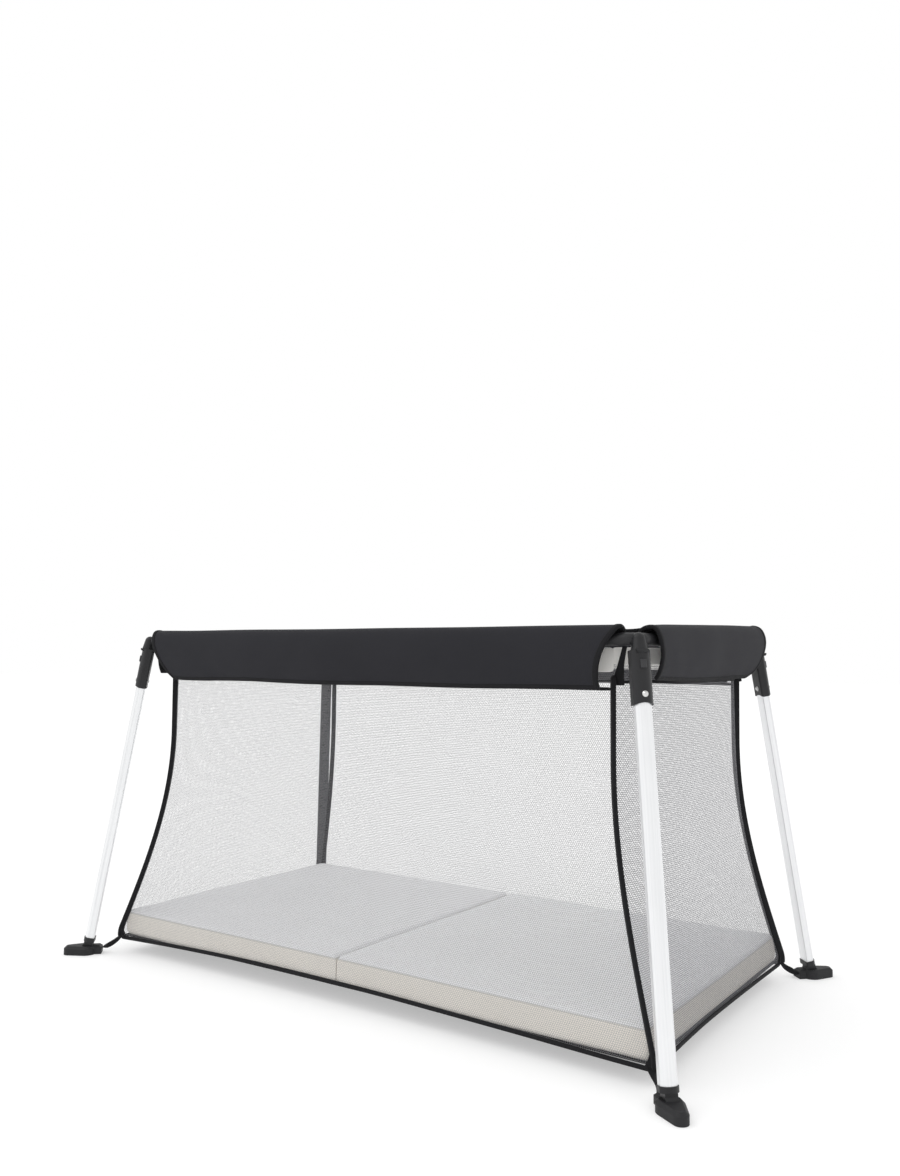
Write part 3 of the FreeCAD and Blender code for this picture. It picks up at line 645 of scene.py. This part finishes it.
@dataclass
class Tub:
    """Mesh tub: net walls, white top bands, bindings, corner tabs and floor cloth."""

    net: bpy.types.Material
    # net for the right wall, darker and with thicker threads: painted shade
    shaded_net: bpy.types.Material
    band: bpy.types.Material
    binding: bpy.types.Material
    floor_cloth: bpy.types.Material
    webbing: bpy.types.Material
    seam_in_x: float = 0.075
    seam_in_y: float = 0.048
    seam_start: float = 0.045
    seam_full: float = 0.460
    rail_in: float = 0.004
    turn_long: float = 4.0
    turn_end: float = 2.5
    hem_bow_in: float = 0.009
    hem_lift: float = 0.0095
    hem_skew: float = 0.55
    hem_tall: float = 0.0075
    hem_thick: float = 0.0032
    band_bottom: float = 0.592
    band_top: float = 0.6315
    line_height: float = 0.5665
    binding_top: float = 0.588
    front_binding: tuple[float, float] = (0.0125, 0.0070)
    back_binding: tuple[float, float] = (0.0170, 0.0105)
    end_bow: float = 0.35
    end_band_up: float = 0.012
    end_line_up: float = 0.0105
    hem_drop: float = 0.0005
    wall_ripple: float = 0.0015
    pad_clearance: float = 0.0022
    band_over: float = 1.006
    band_thick: float = 0.0009
    line_tall: float = 0.0052
    line_cut: float = 0.005
    line_thick: float = 0.0028
    net_cut: float = 0.93
    trim_cut: float = 0.86
    webbing_thick: float = 0.0024
    tab_thick: float = 0.0022
    floor_in: float = 0.004
    floor_ripple: float = 0.0006
    floor_thick: float = 0.0016

    def __post_init__(self) -> None:
        """Read the tub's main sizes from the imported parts."""
        low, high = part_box("base_sheet")
        self.half_x, self.half_y = high.x, high.y
        self.floor, self.inside_floor = low.z, high.z
        low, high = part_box("end_rail_right")
        self.rail_x, self.rail_z = (low.x + high.x) / 2, (low.z + high.z) / 2
        low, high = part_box("long_rail_back_right")
        self.rail_y = (low.y + high.y) / 2
        self.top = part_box("mesh_wall_front")[1].z
        self.pull = {
            Corner.FRONT_RIGHT: (0.008, 0.0),
            Corner.FRONT_LEFT: (0.009, 0.006),
            Corner.BACK_RIGHT: (-0.007, -0.002),
            Corner.BACK_LEFT: (0.0, 0.0),
        }

    def lean(self, height: float) -> float:
        """How far the corner seam has gone in at a height, from 0 to 1."""
        rise = (height - self.seam_start) / (self.seam_full - self.seam_start)
        return math.sin(math.pi / 2 * min(max(rise, 0.0), 1.0))

    def seam(self, corner: Corner, height: float, out: float = 0.0) -> Vector:
        """Point of a corner seam.

        Args:
            corner: Which corner.
            height: Its height.
            out: Distance outwards of the seam, along the diagonal.
        """
        lean = self.lean(height)
        pull_x, pull_y = self.pull[corner]
        x = self.half_x - (self.seam_in_x + pull_x) * lean
        y = self.half_y - (self.seam_in_y + pull_y) * lean
        return corner.at(x, y, height) + corner.outwards * out

    def wall(self, side: Side, across: float, share: float, out: float = 0.0) -> Vector:
        """Point of a wall.

        Args:
            side: Which wall.
            across: Place along the wall, from -1 to 1.
            share: Place up the wall, from 0 at the hem to 1 at its top.
            out: Distance outwards of the net.
        """
        crown = 1 - across**2
        amount = 1.0 if side.along_x else self.end_bow
        lift = self.hem_lift * crown * amount * (1 - self.hem_skew * across)
        bottom = self.floor - self.hem_drop + lift
        height = bottom + (self.top - bottom) * share
        low, high = (self.seam(side.corner(end), height) for end in (-1, 1))
        if not side.along_x:
            low, high = low.yxz, high.yxz
        along = low.x + (high.x - low.x) * (across + 1) / 2
        seam_out = abs(low.y if across < 0 else high.y)
        base = self.half_y if side.along_x else self.half_x
        rail = self.rail_y if side.along_x else self.rail_x
        climb = (height - self.floor) / (self.top - self.floor)
        bow = self.hem_bow_in * crown * amount * (1 - climb) ** 2
        middle = base + (rail - self.rail_in - base) * climb - bow
        turn = abs(across) ** (self.turn_long if side.along_x else self.turn_end)
        seed = 3.0 * list(Side).index(side) + 1
        wave = ripple(Vector((along, height, 0)), 5.0, seed) * self.wall_ripple * crown
        return side.at(along, middle + (seam_out - middle) * turn + wave + out, height)

    def room(self, place: Vector) -> Vector:
        """How far out X and Y may reach inside the walls, at a place."""
        across_x, across_y = place.x / self.half_x, place.y / self.half_y
        share = self.share_at(place.z)
        long_side = Side.FRONT if place.y < 0 else Side.BACK
        end_side = Side.LEFT if place.x < 0 else Side.RIGHT
        long_wall = self.wall(long_side, across_x, share, -self.pad_clearance)
        end_wall = self.wall(end_side, across_y, share, -self.pad_clearance)
        return Vector((abs(end_wall.x), abs(long_wall.y), 0))

    def share_at(self, height: float) -> float:
        """Share up a wall that a height is at."""
        return (height - self.floor) / (self.top - self.floor)

    def make_wall(self, side: Side) -> None:
        """Net wall with its white top band, black line and hem."""
        half = self.half_x if side.along_x else self.half_y
        width, tall = 2 * half, self.top - self.floor
        face = side.at(0, 1, 0)
        columns = 72 if side.along_x else 40
        net = placed_grid(
            f"net_{side.label}",
            (columns, 36),
            lambda u, v: self.wall(side, 2 * u - 1, v),
            (width * self.net_cut, tall),
            face,
        )
        # The right wall gets the net with painted shade: a darker colour and thicker threads.
        dress(net, self.shaded_net if side is Side.RIGHT else self.net, "top_frame")
        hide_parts(f"mesh_wall_{side.label}")
        low = self.share_at(self.band_bottom + (0.0 if side.along_x else self.end_band_up))
        high = self.share_at(self.band_top)
        band = placed_grid(
            f"top_band_{side.label}",
            (columns, 4),
            lambda u, v: self.wall(side, (2 * u - 1) * self.band_over, low + (high - low) * v, 0.0006),
            (width * self.trim_cut, self.band_top - self.band_bottom),
            face,
        )
        thicken(band, self.band_thick)
        dress(band, self.band, "top_frame")
        middle = self.share_at(self.line_height + (0.0 if side.along_x else self.end_line_up))
        spread = self.share_at(self.floor + self.line_tall) / 2
        line = placed_grid(
            f"wall_line_{side.label}",
            (columns, 2),
            lambda u, v: self.wall(side, 2 * u - 1, middle + spread * (2 * v - 1), 0.0004),
            (width * self.trim_cut, self.line_cut),
            face,
        )
        thicken(line, self.line_thick)
        dress(line, self.binding, "top_frame")

        def hem_place(u: float, v: float) -> Vector:
            return self.wall(side, 2 * u - 1, 0, 0.0008) + Vector((0, 0, (v - 0.42) * self.hem_tall))

        hem_size = (width, self.hem_tall)
        hem = placed_grid(f"hem_binding_{side.label}", (columns, 3), hem_place, hem_size, face)
        thicken(hem, self.hem_thick)
        dress(hem, self.binding, "top_frame")
        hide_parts("hem_piping")

    def make_corner(self, corner: Corner) -> None:
        """Folded binding up a corner seam, and the patch at its base."""
        bottom, top = self.floor, self.binding_top
        wide, thick = self.back_binding if corner.value[1] > 0 else self.front_binding

        def fold(u: float, v: float) -> Vector:
            deep = wide * (1.0 - 0.15 * math.sin(math.pi * v))
            height = bottom + (top - bottom) * v
            return self.seam(corner, height, (u - 0.35) * deep)

        binding = placed_grid(
            f"corner_binding_{corner.label}", (3, 60), fold, (wide, top - bottom), corner.across
        )
        thicken(binding, thick)
        dress(binding, self.binding, "top_frame")
        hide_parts("corner_piping")

        tall, half_wide, taper = 0.026, 0.017, 0.8

        def patch_place(u: float, v: float) -> Vector:
            height = self.floor - 0.001 + tall * v
            reach = half_wide * (1 - taper * v) * (2 * u - 1)
            bend = self.seam(corner, height, 0.0035)
            along_x, along_y = corner.at(-1, 0, 0), corner.at(0, -1, 0)
            return bend + (along_x if reach > 0 else along_y) * abs(reach)

        patch = placed_grid(
            f"corner_patch_{corner.label}", (8, 5), patch_place, (0.048, tall), corner.outwards
        )
        thicken(patch, self.webbing_thick)
        dress(patch, self.webbing, "top_frame")

    def make_corner_tab(self, corner: Corner) -> None:
        """Black tab that hangs the corner seam from the underside of the elbow."""
        under_rail = self.rail_z - 0.0105
        head = corner.at(self.rail_x - 0.027, self.rail_y - 0.010, under_rail)
        foot = self.seam(corner, 0.572) + corner.at(0.0065, -0.0045, 0)
        level = corner.at(-1, 0, 0)

        narrow, flare, slack = 0.0085, 0.0145, 0.003

        def tab_place(u: float, v: float) -> Vector:
            wide = narrow + flare * (1 - v) ** 2
            line = foot.lerp(head, v)
            sag = math.sin(math.pi * v) * slack
            return line + level * (wide * (0.5 - u)) - corner.outwards * sag

        size = (0.016, (head - foot).length)
        tab = placed_grid(f"corner_tab_{corner.label}", (4, 16), tab_place, size, corner.at(0, 1, 0))
        thicken(tab, self.tab_thick)
        dress(tab, self.webbing, "top_frame")

    def make_corner_band(self, corner: Corner) -> None:
        """Black band that joins two wraps inside the corner, behind the elbow."""
        first = corner.at(self.rail_x - 0.062, self.rail_y - 0.013, 0)
        bend = corner.at(self.rail_x - 0.030, self.rail_y - 0.022, 0)
        last = corner.at(self.rail_x - 0.012, self.rail_y - 0.050, 0)
        wide, above_rail, slack = 0.008, 0.0115, 0.003

        def band_place(u: float, v: float) -> Vector:
            line = first.lerp(bend, v).lerp(bend.lerp(last, v), v)
            dip = slack * math.sin(math.pi * v)
            return line + Vector((0, 0, self.rail_z + above_rail + wide * u - dip))

        size = (wide, 0.075)
        band = placed_grid(f"corner_band_{corner.label}", (2, 18), band_place, size, corner.outwards)
        thicken(band, self.webbing_thick)
        dress(band, self.binding, "top_frame")

    def make_floor(self) -> None:
        """Black floor cloth under the pad."""

        def floor_place(u: float, v: float) -> Vector:
            x, y = 2 * u - 1, 2 * v - 1
            bow = self.hem_bow_in * (1 - x**2) * abs(y)
            dip = self.floor_ripple * ripple(Vector((x, y, 0)), 3.0, 5.0)
            reach_x, reach_y = self.half_x - self.floor_in, self.half_y - self.floor_in - bow
            return Vector((x * reach_x, y * reach_y, self.inside_floor - 0.001 + dip))

        size = (2 * self.half_x, 2 * self.half_y)
        cloth = placed_grid("floor_cloth", (48, 26), floor_place, size, Vector((0, 0, -1)))
        thicken(cloth, self.floor_thick)
        dress(cloth, self.floor_cloth, "top_frame")
        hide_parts("base_sheet")

    def make(self) -> None:
        """Build the whole tub."""
        for side in Side:
            self.make_wall(side)
        for corner in Corner:
            self.make_corner(corner)
            self.make_corner_tab(corner)
            self.make_corner_band(corner)
        self.make_floor()


@dataclass
class FootStrap:
    """Twisted strap from a base corner of the tub to the heel of a foot pad."""

    tub: Tub
    webbing: bpy.types.Material
    width: float = 0.019
    thickness: float = 0.0019
    heel_in: float = 0.0265
    heel_height: float = 0.0095
    slack: float = 0.004
    twist: float = 0.9
    waist: float = 0.35

    def make(self, corner: Corner) -> None:
        """Build one strap."""
        pin = next(j["pos_m"] for j in frame["joints"] if j["name"] == f"pad_tilt_{corner.label}")
        heel = Vector(pin) - corner.outwards * self.heel_in
        start = self.tub.seam(corner, self.tub.floor + 0.006, -0.004)
        end = Vector((heel.x, heel.y, self.heel_height))
        level = corner.across
        upright = Vector((0, 0, 1))

        def strap_place(u: float, v: float) -> Vector:
            turn = math.pi / 2 * (1 - abs(2 * v - 1) ** 1.5) * self.twist
            narrow = 1 - self.waist * math.sin(math.pi * v)
            aside = level * math.cos(turn) + upright * math.sin(turn)
            line = start.lerp(end, v) - upright * self.slack * math.sin(math.pi * v)
            return line + aside * self.width * narrow * (u - 0.5)

        size = (self.width, (end - start).length)
        strap = placed_grid(f"foot_strap_{corner.label}_web", (4, 22), strap_place, size, upright)
        thicken(strap, self.thickness)
        strap.data.materials.append(self.webbing)
        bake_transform(strap)
        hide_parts(f"foot_strap_{corner.label}")
        log.info("%s: blended", strap.name)


# ---- the rail wraps ----


@dataclass
class WrapEnds:
    """How far a wrap reaches along its rail at both ends, from its crown down to its hem."""

    low: list[float]
    high: list[float]

    def reach(self, down: float) -> tuple[float, float]:
        """Both ends at a share of the way from the crown down to the hem."""
        rows = ([(value, 0.0) for value in row] for row in (self.low, self.high))
        return tuple(curve_through(row, down)[0] for row in rows)


@dataclass
class RailWrap:
    """Padded cloth folded over a rail, with a binding round its ends and hem."""

    tub: Tub
    side: Side
    ends: WrapEnds
    cloth: bpy.types.Material
    binding: bpy.types.Material
    thickness: float = 0.0042
    binding_wide: float = 0.0105
    binding_extra: float = 0.0022
    girth: float = 0.155
    crown_share: float = 0.35
    steps_per_metre: int = 110
    wave: float = 0.0024
    fine_wave: float = 0.0007
    dip: float = 0.0016
    uneven: float = 0.0015
    seed: float = 1.0
    hem_rise: float = 0.0
    crown_rise: tuple[float, float] = (0.0, 0.0)

    # section over the rail, out and up from its middle: inside edge, crown, outside, hem
    PROFILE = [
        (-0.0145, -0.0060), (-0.0160, 0.0060), (-0.0115, 0.0160), (0.0, 0.0205), (0.0110, 0.0160),
        (0.0175, 0.0020), (0.0205, -0.0180), (0.0200, -0.0400), (0.0150, -0.0620), (0.0075, -0.0775),
    ]

    def surface(self, u: float, v: float) -> Vector:
        """Point of the wrap's middle surface.

        Args:
            u: Place along the rail, from 0 to 1.
            v: Place over the rail, from 0 inside to 1 at the hem.
        """
        out, rise = curve_through(self.PROFILE, v)
        drop = max(0.0, (v - self.crown_share) / (1 - self.crown_share))
        low, high = self.ends.reach(drop)
        along = low + (high - low) * u
        place = Vector((along, out, rise))
        wave = ripple(place, 7.0, self.seed) * self.wave
        wave += ripple(place, 22.0, self.seed + 4) * self.fine_wave
        level = ripple(Vector((along, 0, 0)), 6.0, self.seed + 9)
        sag = -self.dip * math.sin(math.pi * u) + self.uneven * level
        rail = self.tub.rail_y if self.side.along_x else self.tub.rail_x
        crown = self.crown_rise[0] + (self.crown_rise[1] - self.crown_rise[0]) * u**0.6
        lift = crown * min(v / 0.3, 1.0) * (1 - drop) + self.hem_rise * drop
        height = self.tub.rail_z + rise + sag * (0.5 + drop) + lift
        return self.side.at(along, rail + out + wave * (0.4 + drop), height)

    def edge(
        self, name: str, place: Place, steps: tuple[int, int], size: tuple[float, float]
    ) -> bpy.types.Object:
        """Binding folded over an edge of the wrap.

        Args:
            name: The piece's name.
            place: Point for a share across and along the binding.
            steps: Its divisions.
            size: Its cut size.
        """
        made = placed_grid(name, steps, place, size, self.side.at(0, 1, 0))
        thicken(made, self.thickness + self.binding_extra)
        return dress(made, self.binding, "top_frame")

    def make(self) -> None:
        """Build the wrap and its bindings."""
        label = self.side.label
        length = self.ends.high[0] - self.ends.low[0]
        steps = int(length * self.steps_per_metre)
        size = (length, self.girth)
        wrap = placed_grid(f"wrap_{label}", (steps, 30), self.surface, size, self.side.at(0, 1, 0))
        thicken(wrap, self.thickness)
        dress(wrap, self.cloth, "top_frame")
        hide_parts(f"rail_wrap_{label}")
        share = self.binding_wide / length
        deep = self.binding_wide / self.girth
        self.edge(
            f"wrap_hem_{label}",
            lambda u, v: self.surface(v, 1 - deep * (1 - u)),
            (3, steps),
            (self.binding_wide, length),
        )
        for end, start in (("low", 0.0), ("high", 1 - share)):
            self.edge(
                f"wrap_end_{end}_{label}",
                lambda u, v, start=start: self.surface(start + share * u, v),
                (3, 34),
                (self.binding_wide, self.girth),
            )


# ---- the floor pad ----


@dataclass
class FloorPad:
    """Folding floor pad in two foam halves inside a knit cover."""

    tub: Tub
    cover: bpy.types.Material
    fold: float = -0.014
    gap: float = -0.0010
    spread: float = 0.0115
    corner_round: float = 0.007
    edge_round: float = 0.008
    voxel: float = 0.007
    pressure: float = 4.0
    stiffness: float = 25
    swell_cap: float = 0.0022
    uneven: float = 0.0016
    shrink: float = 0.001

    def __post_init__(self) -> None:
        """Read the pad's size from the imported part."""
        self.low, self.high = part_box("mattress")

    def block(self, name: str, sign: int) -> bpy.types.Object:
        """One half as a rounded foam block.

        Args:
            name: The piece's name.
            sign: Which half, -1 or 1 along X.
        """
        x_far = self.high.x + self.spread
        y_far = self.high.y + self.spread
        bottom, top = self.low.z + 0.0005, self.high.z - self.shrink
        shape = bmesh.new()
        bmesh.ops.create_cube(shape, size=1.0)
        near = self.fold + sign * self.gap / 2
        size = Vector((abs(sign * x_far - near), 2 * y_far, top - bottom))
        bmesh.ops.scale(shape, vec=size, verts=shape.verts)
        centre = Vector(((sign * x_far + near) / 2, 0, (top + bottom) / 2))
        bmesh.ops.translate(shape, vec=centre, verts=shape.verts)

        def climb(edge: bmesh.types.BMEdge) -> float:
            return abs(edge.verts[0].co.z - edge.verts[1].co.z)

        def rounded(edges: list[bmesh.types.BMEdge], offset: float, segments: int) -> None:
            rest = {"profile": 0.5, "affect": "EDGES", "material": -1}
            bmesh.ops.bevel(shape, geom=edges, offset=offset, segments=segments, **rest)

        uprights = [edge for edge in shape.edges if climb(edge) > 0.01]
        uprights = [edge for edge in uprights if edge.verts[0].co.x * sign > x_far - 0.01]
        rounded(uprights, self.corner_round, 6)
        rim = [edge for edge in shape.edges if climb(edge) < 1e-5]
        rim = [edge for edge in rim if len({round(face.normal.z) for face in edge.link_faces}) > 1]
        rounded(rim, self.edge_round, 4)
        bmesh.ops.recalc_face_normals(shape, faces=shape.faces)
        return as_object(name, shape)

    def swell(self, block: bpy.types.Object) -> None:
        """Puff a foam block under its cover with a short cloth run, and fix that in its mesh."""
        remesh = block.modifiers.new("Skin", "REMESH")
        remesh.mode = "VOXEL"
        remesh.voxel_size = self.voxel
        fixed(block)
        rest = [vertex.co.copy() for vertex in block.data.vertices]
        cloth = block.modifiers.new("Puff", "CLOTH")
        cloth.settings.use_pressure = True
        cloth.settings.uniform_pressure_force = self.pressure
        cloth.settings.effector_weights.gravity = 0
        cloth.settings.tension_stiffness = self.stiffness
        cloth.settings.compression_stiffness = self.stiffness
        cloth.settings.quality = 6
        scene = bpy.context.scene
        for step in range(1, 21):
            scene.frame_set(step)
        fixed(block)
        scene.frame_set(1)
        for vertex, start in zip(block.data.vertices, rest):
            move = vertex.co - start
            if move.length > self.swell_cap:
                vertex.co = start + move.normalized() * self.swell_cap
            wave = self.uneven * ripple(Vector((vertex.co.x, vertex.co.y, 0)), 5.0, 2.0)
            if start.z > (self.low.z + self.high.z) / 2:
                vertex.co.z += wave
            vertex.co.z = min(max(vertex.co.z, self.low.z + 0.0003), self.high.z + 0.002)
            room = self.tub.room(vertex.co)
            vertex.co.x = min(max(vertex.co.x, -room.x), room.x)
            vertex.co.y = min(max(vertex.co.y, -room.y), room.y)
        block.data.update()

    def make(self) -> None:
        """Build both halves."""
        for label, sign in (("left", -1), ("right", 1)):
            block = self.block(f"floor_pad_{label}", sign)
            self.swell(block)
            block.data.shade_smooth()
            dress(block, self.cover, "top_frame")
            soften(block)
            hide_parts("mattress")


def fixed(piece: bpy.types.Object) -> None:
    """Apply a piece's modifiers to its mesh, which leaves the piece with none."""
    graph = bpy.context.evaluated_depsgraph_get()
    mesh = bpy.data.meshes.new_from_object(piece.evaluated_get(graph))
    piece.modifiers.clear()
    piece.data = mesh


# ---- the hard parts ----


@dataclass
class HardParts:
    """The carried-over tubes, joints, sockets, buttons, feet, rivets and springs."""

    plastic: bpy.types.Material
    pad_plastic: bpy.types.Material
    button_plastic: bpy.types.Material
    rivet: bpy.types.Material
    spring: bpy.types.Material
    # how deep into the tube the painted shade on the back-left leg's inner side starts
    dark_depth: float = 0.0055

    @staticmethod
    def paint(node: str, material: bpy.types.Material) -> None:
        """Give a carried-over part, by its node's name, its finish."""
        part = frame["nodes"][node]
        part.data.materials.clear()
        part.data.materials.append(material)
        log.info("%s: painted with %s", node, material.name)

    def make(self) -> None:
        """Paint every hard part."""
        joints = frame["joints"]
        across = DrawnAluminium("rail aluminium long", Vector((1, 0, 0))).make()
        endways = DrawnAluminium("rail aluminium end", Vector((0, 1, 0))).make()
        for node in frame["nodes"]:
            if node.startswith("long_rail") or node == "rail_ferrules":
                self.paint(node, across)
            if node.startswith("end_rail"):
                self.paint(node, endways)
        self.paint("rail_rivets", self.rivet)
        for corner in Corner:
            label = corner.label
            axis = next(Vector(j["axis"]) for j in joints if j["name"] == f"leg_pull_{label}")
            inwards = (-corner.outwards + axis * corner.outwards.dot(axis)).normalized()
            low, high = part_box(f"leg_tube_{label}")
            # Painted shade on the inner side of the back-left leg only; the other legs have none.
            painted_shade_face = ((low + high) / 2, inwards, self.dark_depth)
            leg = DrawnAluminium(
                f"leg aluminium {label}",
                axis,
                colour=(0.96, 0.965, 0.97),
                shade=(0.68, 0.69, 0.705),
                face=painted_shade_face if corner is Corner.BACK_LEFT else None,
            ).make()
            finishes = {
                "leg_tube": leg,
                "corner_joint": self.plastic,
                "leg_socket": self.plastic,
                "lock_button": self.button_plastic,
                "foot_plug": self.plastic,
                "foot_pad": self.pad_plastic,
                "socket_rivet": self.rivet,
                "button_spring": self.spring,
                "foot_pin": self.spring,
            }
            for part, finish in finishes.items():
                self.paint(f"{part}_{label}", finish)


# ---- studio ----


@dataclass
class Studio:
    """Pale floor, one soft sun, an even sky and the camera."""

    stand: Vector
    yaw: float
    pitch: float
    roll: float
    lens: float

    def make_camera(self) -> None:
        """Put the camera at its stand."""
        data = bpy.data.cameras.new("camera")
        data.lens = self.lens
        data.sensor_width = 36.0
        data.clip_start = 0.05
        camera = bpy.data.objects.new("camera", data)
        bpy.context.scene.collection.objects.link(camera)
        turn = Matrix.Rotation(-self.yaw, 4, "Z") @ Matrix.Rotation(math.pi / 2 + self.pitch, 4, "X")
        turn = turn @ Matrix.Rotation(self.roll, 4, "Z")
        camera.matrix_world = Matrix.Translation(self.stand) @ turn
        bpy.context.scene.camera = camera

    def make_sun(self, name: str, aim: tuple, spread: float, power: float) -> None:
        """Broad far light.

        Args:
            name: The light's name.
            aim: Where it shines towards, from the origin.
            spread: How wide it looks, in degrees.
            power: Its power, in watts per square metre.
        """
        data = bpy.data.lights.new(name, "SUN")
        data.energy = power
        data.angle = math.radians(spread)
        light = bpy.data.objects.new(name, data)
        bpy.context.scene.collection.objects.link(light)
        light.rotation_euler = Vector(aim).to_track_quat("-Z", "Y").to_euler()

    def make_room(self) -> None:
        """Pale floor and an even pale sky."""
        shape = bmesh.new()
        bmesh.ops.create_grid(shape, x_segments=8, y_segments=8, size=30.0)
        bmesh.ops.translate(shape, vec=(0, 0, -0.0005), verts=shape.verts)
        floor = as_object("studio_floor", shape)
        shader = Shader("studio floor")
        cloud = shader.noise(shader.place(), 0.8)
        floor.data.materials.append(
            shader.finish(
                Base_Color=shader.blend(cloud, (0.60, 0.60, 0.60), (0.63, 0.63, 0.63)),
                Roughness=0.95,
                Specular_IOR_Level=0.0,
                Emission_Color=(1.0, 1.0, 1.0, 1.0),
                Emission_Strength=0.42,
            )
        )
        world = bpy.data.worlds.new("studio")
        bpy.context.scene.world = world
        world.use_nodes = True
        sky = world.node_tree.nodes["Background"]
        sky.inputs[0].default_value = (1.0, 1.0, 1.0, 1.0)
        sky.inputs[1].default_value = 1.0

    def make(self) -> None:
        """Build the studio."""
        self.make_room()
        self.make_camera()
        self.make_sun("key", aim=(0.6, 0.7, -1.0), spread=50.0, power=0.55)
        bpy.context.scene.view_settings.view_transform = "Standard"


def main() -> None:
    """Build the pen's looks in order."""
    logging.basicConfig(level=logging.INFO, format="%(name)s: %(message)s")
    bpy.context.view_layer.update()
    net = HexNet("open net").make()
    # Painted shade: the right wall's net is a darker copy with thicker threads, for a wall that is
    # less lit.
    shaded_net = HexNet(
        "shaded net", colour=(0.19, 0.19, 0.205), shade=(0.13, 0.13, 0.145), thread=0.25
    ).make()
    band = PlainWeave("white band", (0.90, 0.885, 0.85), (0.95, 0.935, 0.90), sheen=0.0).make()
    cloth = PlainWeave("black wrap cloth", (0.013, 0.013, 0.016), (0.026, 0.026, 0.031)).make()
    under = PlainWeave(
        "black floor cloth", (0.012, 0.012, 0.013), (0.024, 0.024, 0.026), thread=0.0014
    ).make()
    binding = RibbedTape("black binding tape").make()
    webbing = RibbedTape("black webbing", rib=0.0019, lean=0.5).make()
    tub = Tub(
        net=net, shaded_net=shaded_net, band=band, binding=binding, floor_cloth=under, webbing=webbing
    )
    tub.make()
    for corner in Corner:
        FootStrap(tub, webbing).make(corner)
    long_ends = WrapEnds(
        low=[-0.533, -0.531, -0.524, -0.508, -0.486, -0.465],
        high=[0.530, 0.525, 0.512, 0.502, 0.497, 0.496],
    )
    short_ends = WrapEnds(
        low=[-0.249, -0.249, -0.248, -0.246, -0.246, -0.246],
        high=[0.272, 0.280, 0.280, 0.262, 0.230, 0.180],
    )
    wraps = (
        (Side.FRONT, long_ends, 0.0, (0.0, 0.0)),
        (Side.BACK, long_ends, 0.0, (0.0, 0.0)),
        (Side.LEFT, short_ends, 0.012, (0.0, 0.006)),
        (Side.RIGHT, short_ends, 0.015, (-0.002, 0.016)),
    )
    for seed, (side, ends, hem_rise, crown_rise) in enumerate(wraps, start=1):
        rises = {"hem_rise": hem_rise, "crown_rise": crown_rise}
        RailWrap(tub, side, ends, cloth, binding, seed=seed, **rises).make()
    edge_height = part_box("mattress")[1].z - 0.007
    FloorPad(tub, PadCover("pad cover", edge_height).make()).make()
    HardParts(
        plastic=MouldedPlastic("black nylon").make(),
        pad_plastic=MouldedPlastic("foot pad rubber", roughness=0.5).make(),
        button_plastic=MouldedPlastic("button nylon", colour=(0.05, 0.05, 0.053)).make(),
        rivet=PlatedSteel("plated rivet").make(),
        spring=PlatedSteel("spring steel", colour=(0.5, 0.5, 0.52)).make(),
    ).make()
    stand = Vector((1.1703, -1.6969, 0.6085))
    Studio(stand, yaw=-0.596, pitch=0.072, roll=0.009, lens=30.71).make()


if __name__ == "__main__":
    main()
